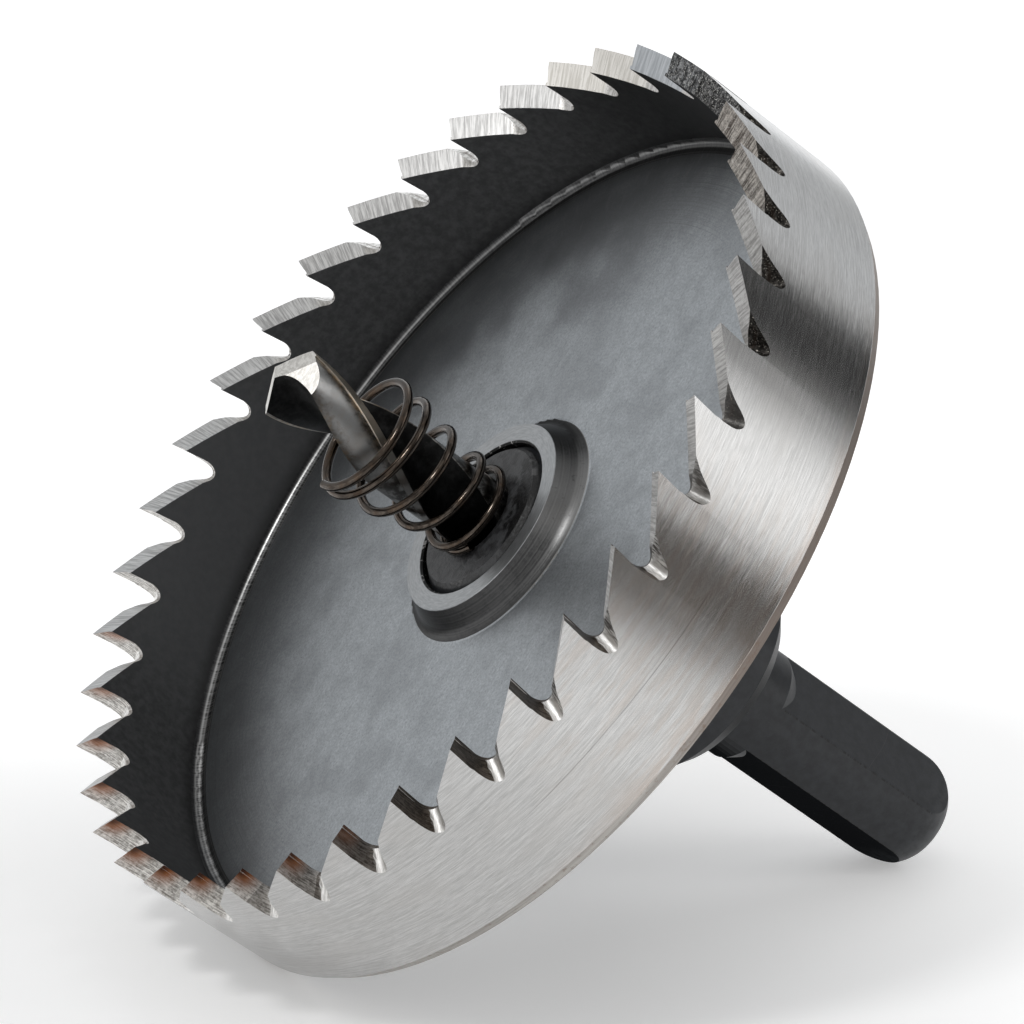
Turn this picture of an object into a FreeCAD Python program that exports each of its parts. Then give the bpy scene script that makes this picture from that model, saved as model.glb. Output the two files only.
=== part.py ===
import FreeCAD, Part
import math
import os

from FreeCAD import Vector

os.makedirs("parts", exist_ok=True)

# ---------------------------------------------------------------- dimensions
# millimetres. The pieces are shaped about the tool axis: there +Z points to the
# pilot point, z = 0 is the shank's end face, and azimuths count from +X. At the
# end the whole tool is laid down as it rests on a bench, on the cup's rear rim
# and the shank's end: +Z is up, z = 0 is the bench, and +X is the way the tool
# axis leans.

# resting pose
REST_AZ = 172.6         # azimuth of the rim that touches the bench
AXIS_ELEV = 37.8807     # elevation of the tool axis over the bench, degrees
REST_X = -44.115        # puts the middle of the tool's length over the origin
REST_Z = 3.8515         # puts rim and shank end on the bench

# cup
CUP_R = 50.0            # outside radius, 100 mm saw
WALL = 2.5              # wall thickness
Z_BACK = 57.1           # back face of the cup
Z_TIP = 76.4            # reference plane of the teeth
Z_FLOOR = 61.9          # inside floor
REAR_CH_R = 0.7         # rear outer chamfer, radial
REAR_CH_Z = 1.3         # rear outer chamfer, axial
SEAM_R = 0.8            # fillet between floor and wall
BORE_R = 9.0            # M18 thread that takes the arbor's nose
BORE_CH = 0.2
BOSS_TOP_R = 11.15
BOSS_BASE_R = 13.5
Z_LAND = 64.65          # flat ring on top of the boss
TIP_RISE = 0.25         # the outer tips stand this much over that plane
TIP_BEVEL = 0.8         # tips slope down inwards by this much over the wall

# teeth
N_TEETH = 38
TIP_PHASE = 86.92       # azimuth of tooth 0, degrees
TIP_LAND = 0.02
# One pitch of a gap's outline: (share of the pitch, height above the outer tip).
# The first outline is at the wall's inside face. Outwards it rises and turns
# back a little, so the rake faces are skewed and the flanks slope inwards.
RAKE = [(0.098, 1.6), (0.012, -3.4)]
GULLET = [(0.012, -3.4), (0.024, -4.20), (0.072, -4.84), (0.138, -5.06),
          (0.205, -4.91), (0.262, -4.55), (0.306, -4.23)]
FLANK = [(0.306, -4.23), (1.085, -0.425)]
SKEW = 0.0165           # share of the pitch, per millimetre outwards
RISE = 0.32             # millimetres up, per millimetre outwards
# The second outline is at the outside face. It is ground steeply into the outer
# part of each gullet and leaves a sharp crease.
BEVEL_SIDE = [(0.050, 1.6), (-0.018, -2.4), (-0.034, -3.9)]
BEVEL = [(-0.034, -3.9), (-0.030, -5.00), (0.010, -5.92), (0.075, -6.24),
         (0.140, -5.98), (0.205, -5.28), (0.252, -4.60), (0.308, -3.85)]
BEVEL_END = [(0.308, -3.85), (0.600, -0.90)]
BEVEL_SKEW = 0.020
BEVEL_FALL = 0.58       # millimetres down, per millimetre outwards

# arbor
SHANK_R = 6.5           # 13 mm chuck shank
SHANK_ROUND_R = 4.983    # profile radius of the rounded end, tangent to the shank
SHANK_ROUND = 3.793     # length of the rounded end
FLAT_D = 5.45           # distance of each flat from the axis
FLAT_AZ = (-50.5, 69.5, 189.5)
Z_FLAT_TOP = 25.9       # the flats end here, in a shallow cone
FLAT_CONE = 1.8
Z_COLLAR = 31.3         # rear face of the collar
COLLAR_R = 12.2
COLLAR_CH_R = 1.9
COLLAR_CH_Z = 1.9
NECK_FILLET = 1.2
NOSE_R = 9.0
Z_NOSE = 64.8
NOSE_CH_R = 1.0
NOSE_CH_Z = 1.15
PILOT_BORE_R = 3.97
Z_PILOT_BORE = 38.4

# set screw, M6
SCREW_AZ = 69.5
Z_SCREW = 44.4
SCREW_R = 3.0
SCREW_IN = 3.5          # its point bears on the drill's small flat
SCREW_OUT = 11.2
SOCKET_AF = 3.0
SOCKET_DEEP = 3.4

# pilot drill, 7.9 mm
DRILL_R = 3.95          # over the margins
DRILL_BODY_R = 3.80     # behind the margins
Z_DRILL_END = 38.6
Z_FLUTE_END = 57.5
Z_CORNER = 90.8
Z_POINT = 92.8
DRILL_LEAD = 52.0       # right-hand helix
LEAD_EDGE_AZ = -12.0    # azimuth of the first leading edge at Z_CORNER
WEB = 0.75              # half the web
POINT_C = 0.54          # slope of the lips
RELIEF_1 = 0.18
RELIEF_2 = 0.85
RELIEF_W = 1.1

# spring, left-hand, tapered, closed at its wide end
WIRE_R = 0.5
SPRING_PATH = [  # azimuth in degrees, height, mean radius
    (-186.0, 81.33, 6.38), (-98.5, 80.86, 6.42), (-8.5, 80.43, 6.46),
    (81.5, 80.14, 6.48), (171.5, 79.86, 6.47), (261.5, 78.75, 6.33),
    (351.5, 77.42, 6.17), (441.5, 76.45, 6.02), (531.5, 75.46, 5.86),
    (621.5, 74.38, 5.62), (711.5, 73.28, 5.38), (801.5, 72.26, 5.15),
    (891.5, 71.23, 5.00), (981.5, 69.98, 4.94), (1071.5, 68.76, 4.91),
    (1161.5, 67.78, 4.89), (1251.5, 66.96, 4.88), (1341.5, 66.52, 4.88),
    (1431.5, 66.18, 4.84), (1521.5, 65.72, 4.66), (1611.5, 65.36, 4.53),
    (1660.0, 65.33, 4.53)]


def export(shape, name):
    shape.exportStep("parts/%s.step" % name)


def line(a, b):
    return Part.makeLine(Vector(a[0], 0, a[1]), Vector(b[0], 0, b[1]))


def arc(a, m, b):
    return Part.Arc(Vector(a[0], 0, a[1]), Vector(m[0], 0, m[1]),
                    Vector(b[0], 0, b[1])).toShape()


def revolve(edges):
    face = Part.Face(Part.Wire(edges))
    solid = face.revolve(Vector(0, 0, 0), Vector(0, 0, 1), 360)
    return solid


def polar(r, az, z):
    a = math.radians(az)
    return Vector(r * math.cos(a), r * math.sin(a), z)


# ---------------------------------------------------------------- saw cup
def cup_blank():
    r_in = CUP_R - WALL
    top_out = Z_TIP + TIP_RISE - TIP_LAND
    top_in = top_out - TIP_BEVEL
    s = SEAM_R
    k = s * (1 - math.sqrt(0.5))
    p = [
        line((BORE_R, Z_BACK), (CUP_R - REAR_CH_R, Z_BACK)),
        line((CUP_R - REAR_CH_R, Z_BACK), (CUP_R, Z_BACK + REAR_CH_Z)),
        line((CUP_R, Z_BACK + REAR_CH_Z), (CUP_R, top_out)),
        line((CUP_R, top_out), (r_in, top_in)),
        line((r_in, top_in), (r_in, Z_FLOOR + s)),
        arc((r_in, Z_FLOOR + s), (r_in - k, Z_FLOOR + k), (r_in - s, Z_FLOOR)),
        line((r_in - s, Z_FLOOR), (BOSS_BASE_R, Z_FLOOR)),
        arc((BOSS_BASE_R, Z_FLOOR), (12.72, Z_FLOOR + 0.30), (12.22, Z_FLOOR + 0.86)),
        line((12.22, Z_FLOOR + 0.86), (BOSS_TOP_R, Z_LAND)),
        line((BOSS_TOP_R, Z_LAND), (BORE_R + BORE_CH, Z_LAND)),
        line((BORE_R + BORE_CH, Z_LAND), (BORE_R, Z_LAND - BORE_CH)),
        line((BORE_R, Z_LAND - BORE_CH), (BORE_R, Z_BACK)),
    ]
    return revolve(p)


def gap_wire(dist, side, gullet, back, skew, rise):
    """One gap between two teeth, on the plane at this distance from the axis.
    The outline is turned back by skew and lifted by rise."""
    step = math.radians(360.0 / N_TEETH)

    def at(q):
        return Vector(dist, dist * math.tan((q[0] - skew - 0.5) * step), Z_TIP + q[1] + rise)

    left = [at(q) for q in side]
    curve = Part.BSplineCurve()
    curve.interpolate([at(q) for q in gullet])
    end = at(back[1])
    top = at((back[1][0], 2.6))
    lid = at((side[0][0], 2.6))
    edges = [Part.makeLine(lid, left[0])]
    edges += [Part.makeLine(p, q) for p, q in zip(left, left[1:])]
    edges += [curve.toShape(), Part.makeLine(at(back[0]), end),
              Part.makeLine(end, top), Part.makeLine(top, lid)]
    return Part.Wire(edges)


def gap_cutter():
    r_in = CUP_R - WALL
    wires = []
    for r in (r_in - 1.3, CUP_R + 1.0):
        d = r - r_in
        wires.append(gap_wire(r, RAKE, GULLET, FLANK, SKEW * d, RISE * d))
    return Part.makeLoft(wires, True, True)


def bevel_cutter():
    wires = []
    for r in (CUP_R - WALL + 0.2, CUP_R + 1.0):
        d = r - CUP_R
        wires.append(gap_wire(r, BEVEL_SIDE, BEVEL, BEVEL_END, BEVEL_SKEW * d, -BEVEL_FALL * d))
    return Part.makeLoft(wires, True, True)


def saw_cup():
    cup = cup_blank()
    cutters = []
    for proto in (gap_cutter(), bevel_cutter()):
        for k in range(N_TEETH):
            c = proto.copy()
            c.rotate(Vector(0, 0, 0), Vector(0, 0, 1),
                     TIP_PHASE + (k + 0.5) * 360.0 / N_TEETH)
            cutters.append(c)
    return cup.cut(cutters)


# ---------------------------------------------------------------- arbor
def arbor():
    f = NECK_FILLET
    g = f * (1 - math.sqrt(0.5))
    sweep = math.asin(SHANK_ROUND / SHANK_ROUND_R)
    mid_c = SHANK_R - SHANK_ROUND_R
    end_r = mid_c + SHANK_ROUND_R * math.cos(sweep)
    mid_r = mid_c + SHANK_ROUND_R * math.cos(sweep / 2)
    mid_z = SHANK_ROUND - SHANK_ROUND_R * math.sin(sweep / 2)
    z_cone = Z_PILOT_BORE - PILOT_BORE_R / math.tan(math.radians(59))
    p = [
        line((0, 0), (end_r, 0)),
        arc((end_r, 0), (mid_r, mid_z), (SHANK_R, SHANK_ROUND)),
        line((SHANK_R, SHANK_ROUND), (SHANK_R, Z_COLLAR - f)),
        arc((SHANK_R, Z_COLLAR - f), (SHANK_R + g, Z_COLLAR - g),
            (SHANK_R + f, Z_COLLAR)),
        line((SHANK_R + f, Z_COLLAR), (COLLAR_R - COLLAR_CH_R, Z_COLLAR)),
        line((COLLAR_R - COLLAR_CH_R, Z_COLLAR), (COLLAR_R, Z_COLLAR + COLLAR_CH_Z)),
        line((COLLAR_R, Z_COLLAR + COLLAR_CH_Z), (COLLAR_R, Z_BACK - 0.4)),
        line((COLLAR_R, Z_BACK - 0.4), (COLLAR_R - 0.4, Z_BACK)),
        line((COLLAR_R - 0.4, Z_BACK), (NOSE_R, Z_BACK)),
        line((NOSE_R, Z_BACK), (NOSE_R, Z_NOSE - NOSE_CH_Z)),
        line((NOSE_R, Z_NOSE - NOSE_CH_Z), (NOSE_R - NOSE_CH_R, Z_NOSE)),
        line((NOSE_R - NOSE_CH_R, Z_NOSE), (PILOT_BORE_R + 0.3, Z_NOSE)),
        line((PILOT_BORE_R + 0.3, Z_NOSE), (PILOT_BORE_R, Z_NOSE - 0.3)),
        line((PILOT_BORE_R, Z_NOSE - 0.3), (PILOT_BORE_R, Z_PILOT_BORE)),
        line((PILOT_BORE_R, Z_PILOT_BORE), (0, z_cone)),
        line((0, z_cone), (0, 0)),
    ]
    body = revolve(p)

    # three milled flats that run out in a slightly hollow cone below the neck
    slope = (SHANK_R - FLAT_D) / FLAT_CONE
    lo, hi = Z_FLAT_TOP - FLAT_CONE - 0.3, Z_FLAT_TOP + 0.8
    r_lo, r_hi = FLAT_D - 0.3 * slope, SHANK_R + 0.8 * slope
    keep = revolve([line((0, lo), (r_lo, lo)),
                    arc((r_lo, lo), ((r_lo + r_hi) / 2 + 0.04, (lo + hi) / 2 - 0.04), (r_hi, hi)),
                    line((r_hi, hi), (0, hi)), line((0, hi), (0, lo))])
    for az in FLAT_AZ:
        box = Part.makeBox(6, 12, Z_FLAT_TOP + 1.7, Vector(FLAT_D, -6, -1))
        box = box.cut(keep)
        box.rotate(Vector(0, 0, 0), Vector(0, 0, 1), az)
        body = body.cut(box)

    # cross hole for the set screw, with a small countersink
    out = Vector(math.cos(math.radians(SCREW_AZ)), math.sin(math.radians(SCREW_AZ)), 0)
    hole = Part.makeCylinder(SCREW_R, 16, Vector(0, 0, Z_SCREW), out)
    sink = Part.makeCone(SCREW_R, SCREW_R + 1.0, 1.0,
                         Vector(0, 0, Z_SCREW) + out * (COLLAR_R - 0.55), out)
    body = body.cut([hole, sink])
    return body


# ---------------------------------------------------------------- set screw
def set_screw():
    length = SCREW_OUT - SCREW_IN
    p = [
        line((0, 0), (1.7, 0)),
        line((1.7, 0), (SCREW_R, 1.3)),
        line((SCREW_R, 1.3), (SCREW_R, length - 0.45)),
        line((SCREW_R, length - 0.45), (SCREW_R - 0.45, length)),
        line((SCREW_R - 0.45, length), (0, length)),
        line((0, length), (0, 0)),
    ]
    body = revolve(p)
    r = SOCKET_AF / math.sqrt(3)
    corners = [Vector(r * math.cos(math.radians(60 * i)), r * math.sin(math.radians(60 * i)),
                      length - SOCKET_DEEP) for i in range(7)]
    hexagon = Part.Face(Part.makePolygon(corners))
    body = body.cut(hexagon.extrude(Vector(0, 0, SOCKET_DEEP + 1)))
    body = body.cut(Part.makeCone(r - 0.25, r + 0.15, 0.4, Vector(0, 0, length - 0.38),
                                  Vector(0, 0, 1)))
    a = math.radians(SCREW_AZ)
    out = Vector(math.cos(a), math.sin(a), 0)
    body.Placement = FreeCAD.Placement(
        out * SCREW_IN + Vector(0, 0, Z_SCREW),
        FreeCAD.Rotation(Vector(0, 0, 1), out))
    return body


# ---------------------------------------------------------------- pilot drill
def drill_section(turn):
    """Cross-section of the fluted length; the first leading edge is at azimuth turn."""
    lead = math.degrees(math.asin(WEB / DRILL_R))      # leading edge over the lip line
    heel = lead - 75.0
    margin = lead - 12.0

    def p(r, az):
        return polar(r, az + turn - lead, 0)

    def xy(x, y):
        return polar(math.hypot(x, y), math.degrees(math.atan2(y, x)) + turn - lead, 0)

    edges = []
    for half in (0, 180):
        a = p(DRILL_R, lead + half)
        b = p(DRILL_R, margin + half)
        c = p(DRILL_BODY_R, margin - 1.5 + half)
        d = p(DRILL_BODY_R, heel + half)
        edges.append(Part.Arc(a, p(DRILL_R, (lead + margin) / 2 + half), b).toShape())
        edges.append(Part.makeLine(b, c))
        edges.append(Part.Arc(c, p(DRILL_BODY_R, (margin - 1.5 + heel) / 2 + half), d).toShape())
        # flute behind this land's heel, up to the other land's leading edge
        h = 1.0 if half == 0 else -1.0
        end = p(DRILL_R, lead + half - 180)
        pts = [d] + [xy(h * x, h * y) for x, y in (
            (1.38, -2.62), (0.82, -1.55), (-0.25, -0.80), (-1.5, -0.66), (-2.7, -0.70))] + [end]
        curve = Part.BSplineCurve()
        curve.interpolate(pts)
        edges.append(curve.toShape())
    return Part.Wire(Part.__sortEdges__(edges))


def half_space(body, point, normal):
    box = Part.makeBox(60, 60, 20, Vector(-30, -30, 0))
    box.Placement = FreeCAD.Placement(point, FreeCAD.Rotation(Vector(0, 0, 1), normal))
    return body.cut(box)


def pilot_drill():
    turn0 = LEAD_EDGE_AZ - 360.0 / DRILL_LEAD * (Z_CORNER - Z_FLUTE_END)
    section = drill_section(turn0)
    height = Z_POINT - Z_FLUTE_END + 1.5
    helix = Part.makeHelix(DRILL_LEAD, height, 1.0)
    fluted = Part.Wire(helix.Edges).makePipeShell([section], True, True)
    fluted.translate(Vector(0, 0, Z_FLUTE_END))

    lead = math.degrees(math.asin(WEB / DRILL_R))
    u_az = LEAD_EDGE_AZ - lead
    tip = Vector(0, 0, Z_POINT)
    for half in (0, 180):
        a = math.radians(u_az + half)
        u = Vector(math.cos(a), math.sin(a), 0)
        w = Vector(math.sin(a), -math.cos(a), 0)        # towards the heel
        n1 = u * POINT_C + w * RELIEF_1 + Vector(0, 0, 1)
        fluted = half_space(fluted, tip, n1)
        n2 = u * POINT_C + w * RELIEF_2 + Vector(0, 0, 1)
        start = tip + w * RELIEF_W - Vector(0, 0, RELIEF_1 * RELIEF_W)
        fluted = half_space(fluted, start, n2)

    shank = revolve([
        line((0, Z_DRILL_END), (DRILL_R - 0.5, Z_DRILL_END)),
        line((DRILL_R - 0.5, Z_DRILL_END), (DRILL_R, Z_DRILL_END + 0.5)),
        line((DRILL_R, Z_DRILL_END + 0.5), (DRILL_R, Z_FLUTE_END)),
        line((DRILL_R, Z_FLUTE_END), (0, Z_FLUTE_END)),
        line((0, Z_FLUTE_END), (0, Z_DRILL_END)),
    ])
    flat = Part.makeBox(3, 10, 7.6, Vector(SCREW_IN, -5, Z_SCREW - 3.8))
    flat.rotate(Vector(0, 0, 0), Vector(0, 0, 1), SCREW_AZ)
    shank = shank.cut(flat)
    return shank.fuse(fluted)


# ---------------------------------------------------------------- spring
def spring_point(az):
    """Height and radius of the wire's centre line, smooth between the stations."""
    p = SPRING_PATH
    for i in range(len(p) - 1):
        if az <= p[i + 1][0] or i == len(p) - 2:
            break
    t = (az - p[i][0]) / (p[i + 1][0] - p[i][0])
    out = []
    for c in (1, 2):
        y0, y1 = p[i][c], p[i + 1][c]
        d0 = (y1 - p[i - 1][c]) / (p[i + 1][0] - p[i - 1][0]) if i else (y1 - y0) / (p[i + 1][0] - p[i][0])
        d1 = ((p[i + 2][c] - y0) / (p[i + 2][0] - p[i][0]) if i + 2 < len(p)
              else (y1 - y0) / (p[i + 1][0] - p[i][0]))
        w = p[i + 1][0] - p[i][0]
        h00 = 2 * t ** 3 - 3 * t ** 2 + 1
        h10 = t ** 3 - 2 * t ** 2 + t
        h01 = -2 * t ** 3 + 3 * t ** 2
        h11 = t ** 3 - t ** 2
        out.append(h00 * y0 + h10 * w * d0 + h01 * y1 + h11 * w * d1)
    return out


def ejector_spring():
    a0, a1 = SPRING_PATH[0][0], SPRING_PATH[-1][0]
    n = 124
    pts = []
    for i in range(n + 1):
        az = a0 + (a1 - a0) * i / n
        z, r = spring_point(az)
        pts.append(polar(r, az, z))
    path = Part.BSplineCurve()
    path.interpolate(pts)
    start = path.value(path.FirstParameter)
    tangent = path.tangent(path.FirstParameter)[0]
    ring = Part.Wire(Part.makeCircle(WIRE_R, start, tangent))
    return Part.Wire(path.toShape()).makePipeShell([ring], True, False)


# ---------------------------------------------------------------- laid down
REST = FreeCAD.Placement(
    Vector(REST_X, 0, REST_Z),
    FreeCAD.Rotation(Vector(0, 1, 0), 90.0 - AXIS_ELEV).multiply(
        FreeCAD.Rotation(Vector(0, 0, 1), -REST_AZ)))

parts = {
    "saw_cup": saw_cup(),
    "arbor": arbor(),
    "pilot_drill": pilot_drill(),
    "ejector_spring": ejector_spring(),
    "set_screw": set_screw(),
}
for name, shape in parts.items():
    if shape.ShapeType == "Compound" and len(shape.Solids) == 1:
        shape = shape.Solids[0]
    shape = shape.copy()
    shape.Placement = REST.multiply(shape.Placement)
    box = shape.optimalBoundingBox(False)
    print(name, shape.ShapeType, len(shape.Solids), "valid", shape.isValid(),
          "volume %.1f" % shape.Volume,
          "box", [round(v, 2) for v in (box.XMin, box.YMin, box.ZMin,
                                        box.XMax, box.YMax, box.ZMax)])
    export(shape, name)
for where, r, z in (("pilot point", 0, Z_POINT), ("shank end", 0, 0),
                    ("rear rim", CUP_R - REAR_CH_R, Z_BACK)):
    q = REST.multVec(polar(r, REST_AZ, z))
    print(where, [round(v, 3) for v in (q.x, q.y, q.z)])
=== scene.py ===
import bpy
import bmesh
import math
import random
from mathutils import Matrix, Vector

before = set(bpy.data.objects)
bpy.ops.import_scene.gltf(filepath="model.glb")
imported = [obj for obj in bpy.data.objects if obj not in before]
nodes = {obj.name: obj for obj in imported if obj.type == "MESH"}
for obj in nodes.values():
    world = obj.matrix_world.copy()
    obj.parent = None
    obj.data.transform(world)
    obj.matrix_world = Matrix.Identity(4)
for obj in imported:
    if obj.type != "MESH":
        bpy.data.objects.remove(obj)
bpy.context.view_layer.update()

# ------------------------------------------------------------------ tool frame
# The tool lies on the floor. Its own axis leans; these two numbers and the
# offset lead from the tool's frame (mm, +Z along the axis, z = 0 at the shank's
# end) to the row frame (m).
REST_AZ = math.radians(172.6)
ELEV = math.radians(37.8807)
OFFSET = Vector((-44.115, 0.0, 3.8515))
E = Vector((math.cos(REST_AZ), math.sin(REST_AZ), 0.0))
ZV = Vector((0.0, 0.0, 1.0))
ROT = Matrix((E * math.sin(ELEV) + ZV * math.cos(ELEV),
              Vector((-math.sin(REST_AZ), math.cos(REST_AZ), 0.0)),
              -E * math.cos(ELEV) + ZV * math.sin(ELEV)))


def row(p):
    """tool frame in mm to row frame in m"""
    return (ROT @ Vector(p) + OFFSET) / 1000.0


def rowdir(v):
    return ROT @ Vector(v)


def polar(r, az, z):
    a = math.radians(az)
    return (r * math.cos(a), r * math.sin(a), z)


# ------------------------------------------------------------------ camera
cam_data = bpy.data.cameras.new("camera")
cam = bpy.data.objects.new("camera", cam_data)
bpy.context.scene.collection.objects.link(cam)
cam_data.sensor_width = 36.0
cam_data.lens = 4965.65 / 1024.0 * 36.0
cam_data.clip_start = 0.05
cam_data.clip_end = 60.0
right = Vector((-0.92266988, 0.38559082, 0.00010734))
up = Vector((-0.10144374, -0.24301055, 0.96470464))
back = Vector((0.37200734, 0.89009302, 0.26333429))
m = Matrix((right, up, back)).transposed().to_4x4()
m.translation = Vector((0.19332518, 0.45440441, 0.17810521))
cam.matrix_world = m
bpy.context.scene.camera = cam

# ------------------------------------------------------------------ stage
floor_mesh = bpy.data.meshes.new("floor")
s = 14.0
floor_mesh.from_pydata([(-s, -s, 0), (s, -s, 0), (s, s, 0), (-s, s, 0)], [], [(0, 1, 2, 3)])
floor = bpy.data.objects.new("floor", floor_mesh)
bpy.context.scene.collection.objects.link(floor)

fm = bpy.data.materials.new("floor_pale")
fm.use_nodes = True
b = fm.node_tree.nodes["Principled BSDF"]
b.inputs["Base Color"].default_value = (0.86, 0.86, 0.86, 1)
b.inputs["Roughness"].default_value = 0.9
b.inputs["Specular IOR Level"].default_value = 0.1
b.inputs["Emission Color"].default_value = (1, 1, 1, 1)
b.inputs["Emission Strength"].default_value = 0.42
floor_mesh.materials.append(fm)
ft = fm.node_tree
# the floor glows, and the glow is weaker within about 0.11 m of the tool: a painted contact shadow
f_pos = ft.nodes.new("ShaderNodeNewGeometry")
f_far = ft.nodes.new("ShaderNodeVectorMath")
f_far.operation = "DISTANCE"
f_far.inputs[1].default_value = (0.040, 0.005, 0.0)
floor_glow_shadow = ft.nodes.new("ShaderNodeMapRange")
floor_glow_shadow.interpolation_type = "SMOOTHSTEP"
floor_glow_shadow.inputs["From Min"].default_value = 0.035
floor_glow_shadow.inputs["From Max"].default_value = 0.110
floor_glow_shadow.inputs["To Min"].default_value = 0.20
floor_glow_shadow.inputs["To Max"].default_value = 0.42
ft.links.new(f_pos.outputs["Position"], f_far.inputs[0])
ft.links.new(f_far.outputs["Value"], floor_glow_shadow.inputs["Value"])
ft.links.new(floor_glow_shadow.outputs["Result"], b.inputs["Emission Strength"])


# ------------------------------------------------------------------ node tools
class NT:
    """short-hand for building node trees"""

    def __init__(self, tree):
        self.t = tree
        self.n = tree.nodes
        self.x = 0

    def new(self, kind, **props):
        n = self.n.new(kind)
        n.location = (self.x, 0)
        self.x += 60
        for k, v in props.items():
            setattr(n, k, v)
        return n

    def put(self, sock, v):
        if v is None:
            return
        if isinstance(v, bpy.types.NodeSocket):
            self.t.links.new(v, sock)
        elif isinstance(v, (tuple, list)) and len(v) == 3 and sock.type == "RGBA":
            sock.default_value = (*v, 1.0)
        else:
            sock.default_value = v

    def math(self, op, a, b=None, c=None, clamp=False):
        n = self.new("ShaderNodeMath", operation=op, use_clamp=clamp)
        self.put(n.inputs[0], a)
        self.put(n.inputs[1], b)
        self.put(n.inputs[2], c)
        return n.outputs[0]

    def add(self, a, b):
        return self.math("ADD", a, b)

    def sub(self, a, b):
        return self.math("SUBTRACT", a, b)

    def mul(self, a, b):
        return self.math("MULTIPLY", a, b)

    def vmath(self, op, a, b=None, scale=None):
        n = self.new("ShaderNodeVectorMath", operation=op)
        self.put(n.inputs[0], a)
        self.put(n.inputs[1], b)
        if scale is not None:
            self.put(n.inputs["Scale"], scale)
        return n.outputs["Value"] if op in ("DOT_PRODUCT", "LENGTH", "DISTANCE") else n.outputs["Vector"]

    def step(self, v, lo, hi, a=0.0, b=1.0):
        """smooth step from a at lo to b at hi"""
        n = self.new("ShaderNodeMapRange", interpolation_type="SMOOTHSTEP")
        self.put(n.inputs["Value"], v)
        self.put(n.inputs["From Min"], lo)
        self.put(n.inputs["From Max"], hi)
        self.put(n.inputs["To Min"], a)
        self.put(n.inputs["To Max"], b)
        return n.outputs["Result"]

    def lin(self, v, lo, hi, a=0.0, b=1.0):
        n = self.new("ShaderNodeMapRange", interpolation_type="LINEAR")
        self.put(n.inputs["Value"], v)
        self.put(n.inputs["From Min"], lo)
        self.put(n.inputs["From Max"], hi)
        self.put(n.inputs["To Min"], a)
        self.put(n.inputs["To Max"], b)
        return n.outputs["Result"]

    def band(self, v, lo, hi, soft):
        """1 between lo and hi, 0 outside, with soft edges"""
        return self.mul(self.step(v, lo - soft, lo + soft), self.step(v, hi - soft, hi + soft, 1.0, 0.0))

    def mix(self, f, a, b):
        n = self.new("ShaderNodeMix", data_type="RGBA", clamp_factor=True)
        self.put(n.inputs[0], f)
        self.put(n.inputs[6], a)
        self.put(n.inputs[7], b)
        return n.outputs[2]

    def mulc(self, f, a, b):
        n = self.new("ShaderNodeMix", data_type="RGBA", blend_type="MULTIPLY", clamp_factor=True)
        self.put(n.inputs[0], f)
        self.put(n.inputs[6], a)
        self.put(n.inputs[7], b)
        return n.outputs[2]

    def mixf(self, f, a, b):
        n = self.new("ShaderNodeMix", data_type="FLOAT", clamp_factor=True)
        self.put(n.inputs[0], f)
        self.put(n.inputs[2], a)
        self.put(n.inputs[3], b)
        return n.outputs[0]

    def noise(self, vec, scale, detail=4.0, rough=0.55, dist=0.0, out="Fac"):
        n = self.new("ShaderNodeTexNoise", noise_dimensions="3D")
        self.put(n.inputs["Vector"], vec)
        self.put(n.inputs["Scale"], scale)
        self.put(n.inputs["Detail"], detail)
        self.put(n.inputs["Roughness"], rough)
        self.put(n.inputs["Distortion"], dist)
        return n.outputs[out]

    def noise1(self, w, scale, detail=4.0, rough=0.6):
        n = self.new("ShaderNodeTexNoise", noise_dimensions="1D")
        self.put(n.inputs["W"], w)
        self.put(n.inputs["Scale"], scale)
        self.put(n.inputs["Detail"], detail)
        self.put(n.inputs["Roughness"], rough)
        return n.outputs["Fac"]

    def comb(self, x, y, z):
        n = self.new("ShaderNodeCombineXYZ")
        self.put(n.inputs[0], x)
        self.put(n.inputs[1], y)
        self.put(n.inputs[2], z)
        return n.outputs[0]

    def sep(self, v):
        n = self.new("ShaderNodeSeparateXYZ")
        self.put(n.inputs[0], v)
        return n.outputs[0], n.outputs[1], n.outputs[2]

    def ramp(self, f, stops, interp="LINEAR"):
        n = self.new("ShaderNodeValToRGB")
        cr = n.color_ramp
        cr.interpolation = interp
        while len(cr.elements) < len(stops):
            cr.elements.new(0.5)
        for e, (p, c) in zip(cr.elements, stops):
            e.position = p
            e.color = (*c, 1.0) if len(c) == 3 else c
        self.put(n.inputs[0], f)
        return n.outputs[0]

    def bump(self, height, strength, dist, normal=None):
        n = self.new("ShaderNodeBump")
        self.put(n.inputs["Height"], height)
        self.put(n.inputs["Strength"], strength)
        self.put(n.inputs["Distance"], dist)
        self.put(n.inputs["Normal"], normal)
        return n.outputs["Normal"]


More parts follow.
